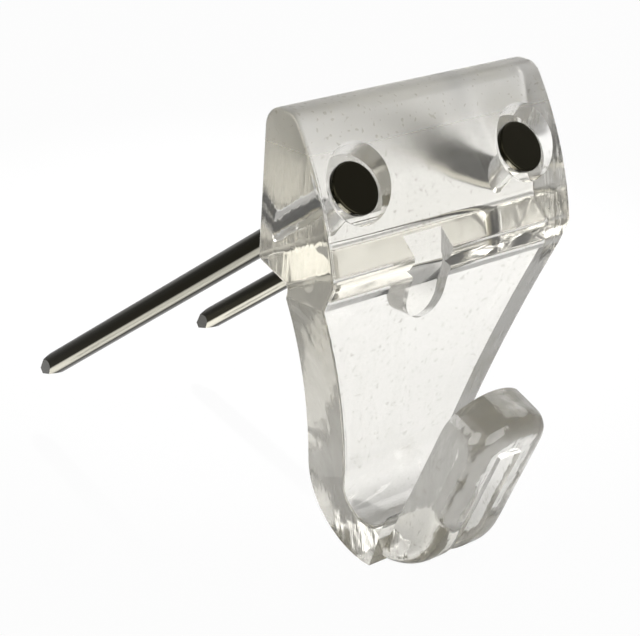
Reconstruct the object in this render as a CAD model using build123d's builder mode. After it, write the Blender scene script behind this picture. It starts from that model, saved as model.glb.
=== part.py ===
"""Clear plastic wall hook held by two slanted nails.

Millimetres. X is to the right, +Y goes into the wall, +Z is up. The wall plane is Y = 0, and the origin is
the middle of the flat back of the head.
"""

import os
from math import cos, radians, sin, tan

from build123d import *

# Head: the deep block that the nails pass through
head_width = 20.0
head_depth = 6.2  # wall to the brow, the foremost line of the head
wall_face_height = 7.9  # flat back of the head, up to the round of the nose
nose_radius = 1.2
nose_depth = 2.3  # depth of the head at its top, before rounding
front_crown = 0.56  # bulge of the front above a straight line
brow_rise = 0.1  # brow above the lower corner of the flat back
brow_radius = 1.0
chin_drop = 1.5  # lower corner of the flat back down to the top of the plate's front
ledge_drop = 0.95  # lower corner of the flat back down to the top of the plate's back
heel_radius = 0.5  # lower corner of the flat back
ledge_radius = 0.4  # inner corner between ledge and plate

# Plate, bend and tongue
plate_lean = 10.5  # degrees; the plate nears the wall on its way down
bend_inner_radius = 1.7
bend_outer_radius = 4.75
bend_shift = 0.05  # inner round ahead of the outer one: the plate is thicker than the tongue
bend_drop = 14.9  # lower corner of the flat back down to the centre of the bend
foot_width = 10.1  # plate at the start of the bend
foot_rise = 1.0  # centre of the bend up to that width
bend_width = 7.8  # at the lowest point
tongue_lean = 22.3  # degrees; the tongue leans away from the wall
tongue_length = 8.9  # centre of the bend to the tip
tongue_width = 6.5
tip_crown = 1.3  # rise of the round tip over the tongue's sides
tip_radius = 1.8  # corners of the tip
rim_radius = 1.3  # round of the tongue's outer edges
edge_radius = 0.2
groove_width = 1.8  # cored groove down the outside of the tongue
groove_depth = 1.4
groove_top = 6.4  # centre of the bend to the upper end of the groove
groove_radius = 0.6  # inner corners along the bottom of the groove

# Gate pad: a small round-ended pad behind the top of the plate
gate_width = 3.2
gate_drop = 4.4  # lower corner of the flat back down to the pad's round end
gate_setback = 0.5  # pad's back to the wall

# Nails and their holes
nail_inset = 3.1  # end of the head to the nail's axis
nail_tilt = 36.7  # degrees below level
nail_exit_height = 1.6  # nail's axis at the wall, above the lower corner of the flat back
nail_seat_depth = 5.0  # wall to the seat of the nail's head, along the nail
nail_length = 35.0
nail_diameter = 1.5
nail_head_diameter = 3.2
nail_head_thickness = 0.45
nail_head_edge = 0.12
nail_point_length = 1.9
nail_point_tip = 0.2  # half width of the blunt tip
hole_clearance = 0.05  # on the radius
counterbore_gap = 0.55  # nail's head to the wall of its counterbore, at the seat
counterbore_taper = 15.0  # degrees

# Heights and places that follow from the sizes above
heel_z = -wall_face_height / 2
top_z = heel_z + wall_face_height + nose_radius
outer_y = -bend_outer_radius  # the outside of the bend just touches the wall
inner_y = outer_y - bend_shift
bend_z = heel_z - bend_drop
chin_z = heel_z - chin_drop
ledge_z = heel_z - ledge_drop
tongue_angle = 180 + tongue_lean
tongue_thickness = bend_outer_radius - bend_inner_radius - bend_shift * cos(radians(tongue_lean))
foot_z = bend_z + foot_rise
bottom_z = bend_z - bend_outer_radius
nail_offset = head_width / 2 - nail_inset
shank_length = nail_length - nail_head_thickness
counterbore_radius = nail_head_diameter / 2 + counterbore_gap
counterbore_height = nail_head_diameter  # reaches out past the front of the head
margin = 1.0  # overrun of a cut past the solid


def outside(angle, along=0.0):
    """Point of the side view on the outside of the bend, moved along the tangent there."""
    turn = radians(angle)
    return (
        outer_y + bend_outer_radius * cos(turn) - along * sin(turn),
        bend_z + bend_outer_radius * sin(turn) + along * cos(turn),
    )


def inside(angle, along=0.0):
    """Point of the side view on the inside of the bend, moved along the tangent there."""
    turn = radians(angle)
    return (
        inner_y + bend_inner_radius * cos(turn) - along * sin(turn),
        bend_z + bend_inner_radius * sin(turn) + along * cos(turn),
    )


def up_plate(start, z):
    """Point of the side view where the plate's face from a start point reaches a height."""
    return (start[0] - (z - start[1]) * tan(radians(plate_lean)), z)


def nail_plane(x):
    """Plane of a nail's seat, with its normal along the nail towards the point."""
    along_y, along_z = cos(radians(nail_tilt)), -sin(radians(nail_tilt))
    exit_z = heel_z + nail_exit_height
    seat = (x, -nail_seat_depth * along_y, exit_z - nail_seat_depth * along_z)
    return Plane(origin=seat, x_dir=(1, 0, 0), z_dir=(0, along_y, along_z))


nail_places = {"left_nail": -nail_offset, "right_nail": nail_offset}
brow = (-head_depth, heel_z + brow_rise)
chin = up_plate(inside(plate_lean), chin_z)
ledge = up_plate(outside(plate_lean), ledge_z)
hook_depth = -outside(tongue_angle, -tongue_length)[0]
tongue_plane = Plane(  # through the inner face of the tongue
    origin=(0, *inside(tongue_angle)),
    x_dir=(1, 0, 0),
    z_dir=(0, -cos(radians(tongue_lean)), -sin(radians(tongue_lean))),
)

with BuildPart() as hook_body:
    # Side view of the whole moulding, from the wall face over the nose and round the bend
    with BuildSketch(Plane.YZ):
        with BuildLine():
            Polyline((0, heel_z), (0, top_z), (-nose_depth, top_z))
            SagittaArc((-nose_depth, top_z), brow, -front_crown)
            Polyline(brow, chin, inside(plate_lean))
            CenterArc((inner_y, bend_z), bend_inner_radius, plate_lean, tongue_angle - 360 - plate_lean)
            Polyline(
                inside(tongue_angle),
                inside(tongue_angle, -tongue_length - margin),
                outside(tongue_angle, -tongue_length - margin),
                outside(tongue_angle),
            )
            CenterArc((outer_y, bend_z), bend_outer_radius, tongue_angle, 360 + plate_lean - tongue_angle)
            Polyline(outside(plate_lean), ledge, (0, heel_z))
        make_face()
        for corner, radius in (
            ((0, top_z), nose_radius),
            ((-nose_depth, top_z), nose_radius),
            (brow, brow_radius),
            (ledge, ledge_radius),
            ((0, heel_z), heel_radius),
        ):
            fillet(vertices().sort_by_distance(corner)[0], radius)
    extrude(amount=head_width / 2, both=True)

    # The plate's sides slant in from the head and run on round the bend
    with BuildSketch(Plane.XZ):
        with BuildLine():
            Spline((head_width / 2, chin_z), (foot_width / 2, foot_z), (bend_width / 2, bottom_z))
            Polyline(
                (bend_width / 2, bottom_z),
                (bend_width / 2, bottom_z - margin),
                (head_width / 2 + margin, bottom_z - margin),
                (head_width / 2 + margin, chin_z),
                (head_width / 2, chin_z),
            )
        make_face()
        mirror(about=Plane.YZ)
    extrude(amount=hook_depth + margin, mode=Mode.SUBTRACT)

    # The tongue is narrower than the bend and has a round tip and round outer edges
    with BuildSketch(tongue_plane):
        Rectangle(head_width + 2 * margin, 2 * (tongue_length + 2 * margin))
        with BuildLine():
            Polyline(
                (-tongue_width / 2, tongue_length - tip_crown),
                (-tongue_width / 2, -tongue_length - 3 * margin),
                (tongue_width / 2, -tongue_length - 3 * margin),
                (tongue_width / 2, tongue_length - tip_crown),
            )
            SagittaArc(
                (tongue_width / 2, tongue_length - tip_crown),
                (-tongue_width / 2, tongue_length - tip_crown),
                -tip_crown,
            )
        make_face(mode=Mode.SUBTRACT)
        for side in (-1, 1):
            corner = (side * tongue_width / 2, tongue_length - tip_crown)
            fillet(vertices().sort_by_distance(corner)[0], tip_radius)
    extrude(amount=bend_outer_radius + margin, mode=Mode.SUBTRACT)
    tongue_face = faces().sort_by(Axis(tongue_plane.origin, tongue_plane.z_dir))[-1]
    fillet(tongue_face.edges().sort_by(Axis(tongue_plane.origin, tongue_plane.y_dir))[1:], rim_radius)

    # The head's ends and the plate's front edges, down into the bend, are rounded
    head_ends = faces().filter_by(Axis.X).group_by(lambda face: abs(face.center().X))[-1]
    slanting_sides = faces().filter_by(GeomType.EXTRUSION)
    fillet(
        head_ends.edges().filter_by_position(Axis.Z, chin_z, top_z, (False, True))
        + slanting_sides.edges()
        .filter_by_position(Axis.Y, -hook_depth, ledge[0])
        .filter_by_position(Axis.Z, inside(-90)[1], chin_z - margin),
        edge_radius,
    )

    # Cored groove, open at its lower end where the bend curves away from it
    groove_end = tongue_plane.origin + tongue_plane.y_dir * groove_top
    with BuildSketch(Plane(groove_end, tongue_plane.x_dir, -tongue_plane.y_dir)):
        with Locations((0, tongue_thickness - groove_depth)):
            Rectangle(groove_width, groove_depth + margin, align=(Align.CENTER, Align.MIN))
        fillet(vertices().group_by(Axis.Y)[0], groove_radius)
    extrude(amount=groove_top + bend_outer_radius, mode=Mode.SUBTRACT)

    # Gate pad under the ledge
    with BuildSketch(Plane.XZ.offset(gate_setback)):
        with Locations((0, heel_z - gate_drop + gate_width / 2)):
            Circle(gate_width / 2)
            Rectangle(gate_width, gate_drop - gate_width / 2, align=(Align.CENTER, Align.MIN))
    extrude(amount=margin - ledge[0] - gate_setback)

    # Slanted nail holes with their counterbores
    for x in nail_places.values():
        with Locations(nail_plane(x)):
            Cone(
                counterbore_radius + counterbore_height * tan(radians(counterbore_taper)),
                counterbore_radius,
                counterbore_height,
                align=(Align.CENTER, Align.CENTER, Align.MAX),
                mode=Mode.SUBTRACT,
            )
            Cylinder(
                nail_diameter / 2 + hole_clearance,
                nail_seat_depth + nail_diameter,
                align=(Align.CENTER, Align.CENTER, Align.MIN),
                mode=Mode.SUBTRACT,
            )

os.makedirs("parts", exist_ok=True)
hook_body.part.label = "hook_body"
export_step(hook_body.part, "parts/hook_body.step")

for name, x in nail_places.items():
    seat = nail_plane(x)
    with BuildPart(seat) as nail:
        # Flat head on its seat, and the wire shank below it
        Cylinder(
            nail_head_diameter / 2,
            nail_head_thickness,
            align=(Align.CENTER, Align.CENTER, Align.MAX),
        )
        fillet(nail.edges(), nail_head_edge)
        Cylinder(nail_diameter / 2, shank_length, align=(Align.CENTER, Align.CENTER, Align.MIN))
        # Four flats cut the shank to a point with a blunt tip
        for side in (seat.x_dir, seat.y_dir, -seat.x_dir, -seat.y_dir):
            with BuildSketch(Plane(origin=seat.origin, x_dir=side, z_dir=side.cross(seat.z_dir))):
                with BuildLine():
                    Polyline(
                        (nail_point_tip, shank_length),
                        (nail_diameter / 2, shank_length - nail_point_length),
                        (nail_diameter, shank_length - nail_point_length),
                        (nail_diameter, shank_length),
                        close=True,
                    )
                make_face()
            extrude(amount=nail_diameter, both=True, mode=Mode.SUBTRACT)
    nail.part.label = name
    export_step(nail.part, f"parts/{name}.step")
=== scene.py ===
import math

import bpy
from mathutils import Matrix, Vector

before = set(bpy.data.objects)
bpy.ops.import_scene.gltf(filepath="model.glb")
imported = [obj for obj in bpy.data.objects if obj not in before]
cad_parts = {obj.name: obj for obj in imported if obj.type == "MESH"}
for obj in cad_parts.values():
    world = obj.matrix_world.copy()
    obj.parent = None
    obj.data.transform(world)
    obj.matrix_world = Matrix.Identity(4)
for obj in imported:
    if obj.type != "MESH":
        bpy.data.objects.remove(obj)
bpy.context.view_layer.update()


# Hook
# One clear injection-moulded piece: head, plate, bend and tongue in polystyrene-like plastic, warm where it is
# thick. The mould leaves a faint ripple, a matt upper head, and drag lines and wrinkles on the sides and the
# tongue, which slide along it. A few specks lie in the plastic.
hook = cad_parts["hook_body"]
plastic_ior = 1.57
plastic_clearness = 0.95
clear_tone = (0.99, 0.985, 0.975, 1)
speck_tone = (0.68, 0.67, 0.63, 1)
speck_fineness = 3800
speck_start, speck_full = 0.71, 0.80  # noise levels
smoke_tone = (0.57, 0.54, 0.42, 1)
smoke_density = 60
polished, matt = 0.06, 0.3  # roughness of the lower and the upper head
matt_start, matt_full = -0.0005, 0.0040  # heights
side_start, side_full = 0.3, 0.8  # turn of a face to the left or right
tongue_start, tongue_full = -0.0068, -0.0085  # places along Y
ripple_fineness, ripple_strength, ripple_depth = 260, 0.08, 0.0004
drag_fineness, drag_strength, drag_depth = (2200, 2200, 260), 0.2, 0.00015
wrinkle_fineness, wrinkle_strength, wrinkle_depth = 480, 0.3, 0.0004


def feed(tree, node, sockets):
    """Give each named socket of a node its value, or wire it to the output that feeds it."""
    for name, source in sockets.items():
        if isinstance(source, bpy.types.NodeSocket):
            tree.links.new(source, node.inputs[name])
        else:
            node.inputs[name].default_value = source


def add_node(tree, kind, sockets, **settings):
    """Add a node with its settings and fed sockets, and return its outputs."""
    node = tree.nodes.new(kind)
    for name, choice in settings.items():
        setattr(node, name, choice)
    feed(tree, node, sockets)
    return node.outputs


def maths(tree, operation, *terms):
    """Result of one operation on its terms."""
    return add_node(tree, "ShaderNodeMath", dict(enumerate(terms)), operation=operation)[0]


def fade(tree, value, start, full, low=0.0, high=1.0, curve="SMOOTHSTEP"):
    """Change from low to high while a value goes from start to full."""
    span = {"Value": value, "From Min": start, "From Max": full, "To Min": low, "To Max": high}
    return add_node(tree, "ShaderNodeMapRange", span, interpolation_type=curve)["Result"]


def blend(tree, amount, first, second):
    """Colour between two others."""
    colours = {"Factor": amount, "A": first, "B": second}
    return add_node(tree, "ShaderNodeMix", colours, data_type="RGBA")["Result"]


def noise(tree, place, fineness, detail):
    """Random level of a stated fineness."""
    return add_node(tree, "ShaderNodeTexNoise", {"Vector": place, "Scale": fineness, "Detail": detail})["Fac"]


def bump(tree, height, strength, depth, **base):
    """Surface direction over a bumpy height, on top of an earlier bump where one is given."""
    return add_node(
        tree, "ShaderNodeBump", {"Height": height, "Strength": strength, "Distance": depth, **base}
    )["Normal"]


clear_plastic = bpy.data.materials.new("clear_plastic")
clear_plastic.use_nodes = True
plastic = clear_plastic.node_tree
surface = add_node(plastic, "ShaderNodeTexCoord", {})
place = surface["Object"]
along = add_node(plastic, "ShaderNodeSeparateXYZ", {"Vector": place})
turned = add_node(plastic, "ShaderNodeSeparateXYZ", {"Vector": surface["Normal"]})
on_side = fade(plastic, maths(plastic, "ABSOLUTE", turned["X"]), side_start, side_full)
on_tongue = fade(plastic, along["Y"], tongue_start, tongue_full)
scraped = maths(plastic, "MAXIMUM", on_side, on_tongue)
ripple = noise(plastic, place, ripple_fineness, detail=1)
stretch = add_node(plastic, "ShaderNodeMapping", {"Vector": place, "Scale": drag_fineness})["Vector"]
drag = maths(plastic, "MULTIPLY", noise(plastic, stretch, 1, detail=3), scraped)
pull = maths(plastic, "MULTIPLY", noise(plastic, place, wrinkle_fineness, detail=1.5), scraped)
rippled = bump(plastic, ripple, ripple_strength, ripple_depth)
dragged = bump(plastic, drag, drag_strength, drag_depth, Normal=rippled)
wrinkled = bump(plastic, pull, wrinkle_strength, wrinkle_depth, Normal=dragged)
dust = noise(plastic, place, speck_fineness, detail=0)
speck = fade(plastic, dust, speck_start, speck_full, curve="LINEAR")
feed(
    plastic,
    plastic.nodes["Principled BSDF"],
    {
        "Base Color": blend(plastic, speck, clear_tone, speck_tone),
        "Roughness": fade(plastic, along["Z"], matt_start, matt_full, polished, matt),
        "IOR": plastic_ior,
        "Transmission Weight": plastic_clearness,
        "Normal": wrinkled,
    },
)
smoke = add_node(plastic, "ShaderNodeVolumeAbsorption", {"Color": smoke_tone, "Density": smoke_density})
feed(plastic, plastic.nodes["Material Output"], {"Volume": smoke["Volume"]})
hook.data.materials.clear()
hook.data.materials.append(clear_plastic)


# Nails
# Two wire nails of drawn steel with a pressed flat head and a four-sided cut point, dark, with a painted
# highlight along both lower sides. They are pushed through the slanted holes until the head sits in its
# counterbore.
steel_roughness = 0.2
dark_tone = (0.024, 0.022, 0.014, 1)
# Painted highlight: a bright colour laid on the nails wherever their surface faces one way, not a reflection of a
# lamp.
painted_highlight_tone = (0.85, 0.82, 0.7, 1)
highlight_facing = (0.79, -0.37, -0.49)  # way the painted highlight faces on the right side of a nail
highlight_start, highlight_full = 0.95, 0.995  # how closely a face turns that way
dark_steel_painted_highlight = bpy.data.materials.new("dark_steel_painted_highlight")
dark_steel_painted_highlight.use_nodes = True
steel = dark_steel_painted_highlight.node_tree
facing = add_node(steel, "ShaderNodeTexCoord", {})["Normal"]
turned = add_node(steel, "ShaderNodeSeparateXYZ", {"Vector": facing})
either_side = add_node(
    steel,
    "ShaderNodeCombineXYZ",
    {"X": maths(steel, "ABSOLUTE", turned["X"]), "Y": turned["Y"], "Z": turned["Z"]},
)["Vector"]
toward = add_node(steel, "ShaderNodeVectorMath", {0: either_side, 1: highlight_facing}, operation="DOT_PRODUCT")
# Painted highlight: a bright band on faces turned that way, mirrored to both sides of each nail.
painted_highlight = fade(steel, toward["Value"], highlight_start, highlight_full)
feed(
    steel,
    steel.nodes["Principled BSDF"],
    {"Base Color": blend(steel, painted_highlight, dark_tone, painted_highlight_tone), "Metallic": 1.0, "Roughness": steel_roughness},
)
for name in ("left_nail", "right_nail"):
    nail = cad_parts[name]
    nail.data.materials.clear()
    nail.data.materials.append(dark_steel_painted_highlight)


# Floor
# Plain matt sheet right under the bend, close enough for the clear plastic to show it.
# To the camera it is almost white, and it keeps a faint shadow of the hook.
floor_drop = 0.02365
floor_size = 0.8
floor_tone = (0.52, 0.52, 0.52, 1)
floor_roughness = 0.9
floor_white_to_camera, floor_white_to_hook = 0.96, 0.05  # shares of plain white
bpy.ops.mesh.primitive_plane_add(size=floor_size, location=(0, 0, -floor_drop))
floor = bpy.context.object
floor.name = "floor"


def sight_lines(tree):
    """Rays from the camera, and rays that meet something in or through the hook."""
    path = add_node(tree, "ShaderNodeLightPath", {})
    return path["Is Camera Ray"], maths(tree, "MAXIMUM", path["Is Glossy Ray"], path["Is Transmission Ray"])


floor_white = bpy.data.materials.new("floor_white")
floor_white.use_nodes = True
sheet = floor_white.node_tree
matt_sheet = sheet.nodes["Principled BSDF"]
feed(sheet, matt_sheet, {"Base Color": floor_tone, "Roughness": floor_roughness})
plain_white = add_node(sheet, "ShaderNodeEmission", {"Strength": 1.0})
by_camera, by_hook = sight_lines(sheet)
hook_share = maths(sheet, "MULTIPLY", by_hook, floor_white_to_hook)
white_share = maths(sheet, "MULTIPLY_ADD", by_camera, floor_white_to_camera, hook_share)
seen_sheet = add_node(
    sheet, "ShaderNodeMixShader", {"Fac": white_share, 1: matt_sheet.outputs["BSDF"], 2: plain_white["Emission"]}
)
feed(sheet, sheet.nodes["Material Output"], {"Surface": seen_sheet["Shader"]})
floor.data.materials.append(floor_white)


# Studio light
# Dim room with a white backdrop behind the hook, as seen from the photo's angle, and three large soft lamps.
# A fourth, narrow lamp lights only the sheet behind the hook and does not show in the steel.
room_tone = (0.16, 0.155, 0.145, 1)
backdrop_tone = (1.0, 1.0, 1.0, 1)
backdrop_facing = (0.7, 0.7, 0.14)
backdrop_start, backdrop_full = 0.5, 0.85  # how closely a ray runs that way
room_white_to_hook = 0.3  # share of plain white
lamp_target = (0, 0, -0.005)
pool_power = 10.7
pool_spread = math.radians(11.2)
pool_edge = 0.4
pool_lamp_radius = 0.008
pool_place = (0.169, 0.176, 0.316)
pool_target = (0.027, 0.034, -floor_drop)
world = bpy.data.worlds.new("room")
bpy.context.scene.world = world
world.use_nodes = True
room = world.node_tree
direction = add_node(room, "ShaderNodeTexCoord", {})["Generated"]
behind = add_node(room, "ShaderNodeVectorMath", {0: direction, 1: backdrop_facing}, operation="DOT_PRODUCT")
backdrop = fade(room, behind["Value"], backdrop_start, backdrop_full)
by_camera, by_hook = sight_lines(room)
plain_share = maths(room, "MULTIPLY_ADD", by_hook, room_white_to_hook, by_camera)
white_part = maths(room, "MAXIMUM", backdrop, plain_share)
feed(
    room,
    room.nodes["Background"],
    {"Color": blend(room, white_part, room_tone, backdrop_tone), "Strength": 1.0},
)


def hang_lamp(fitting, place, target):
    """Put a lamp in its place and turn it to a target."""
    lamp = bpy.data.objects.new(fitting.name, fitting)
    bpy.context.scene.collection.objects.link(lamp)
    lamp.location = place
    lamp.rotation_euler = (Vector(target) - lamp.location).to_track_quat("-Z", "Y").to_euler()
    return lamp


for name, place, width, power in (
    ("left_lamp", (-0.50, -0.10, 0.30), 0.45, 2.3),
    ("right_lamp", (0.46, -0.04, 0.40), 0.40, 0.96),
    ("front_lamp", (0.0, -0.55, 0.12), 0.45, 2.5),
):
    soft_box = bpy.data.lights.new(name, "AREA")
    soft_box.size = width
    soft_box.energy = power
    hang_lamp(soft_box, place, lamp_target)
narrow_spot = bpy.data.lights.new("backdrop_lamp", "SPOT")
narrow_spot.energy = pool_power
narrow_spot.spot_size = pool_spread
narrow_spot.spot_blend = pool_edge
narrow_spot.shadow_soft_size = pool_lamp_radius
hang_lamp(narrow_spot, pool_place, pool_target).visible_glossy = False


# Camera
# Photo's angle: from the front left and a little above, with a slight roll.
# Its lens is stated by the focal length in pixels of the photo.
camera_turn = math.radians(45.04)
camera_rise = math.radians(21.97)
camera_roll = 0.0637
camera_distance = 0.12326
camera_target = Vector((-0.007725, -0.003, -0.007147))
photo_width = 640
focal_length = 2171.5
sensor_width = 36
nearest_seen = 0.005
back = Vector(
    (
        -math.sin(camera_turn) * math.cos(camera_rise),
        -math.cos(camera_turn) * math.cos(camera_rise),
        math.sin(camera_rise),
    )
)
level = Vector((math.cos(camera_turn), -math.sin(camera_turn), 0))
upright = back.cross(level)
right = level * math.cos(camera_roll) + upright * math.sin(camera_roll)
up = upright * math.cos(camera_roll) - level * math.sin(camera_roll)
camera_data = bpy.data.cameras.new("photo_camera")
camera_data.sensor_width = sensor_width
camera_data.lens = focal_length / photo_width * sensor_width
camera_data.clip_start = nearest_seen
camera = bpy.data.objects.new("photo_camera", camera_data)
bpy.context.scene.collection.objects.link(camera)
camera.matrix_world = Matrix.Translation(camera_target + back * camera_distance) @ Matrix(
    (right, up, back)
).transposed().to_4x4()
bpy.context.scene.camera = camera
bpy.context.scene.view_settings.view_transform = "Standard"
bpy.context.scene.cycles.max_bounces = 24
bpy.context.scene.cycles.glossy_bounces = 16
bpy.context.scene.cycles.transmission_bounces = 24
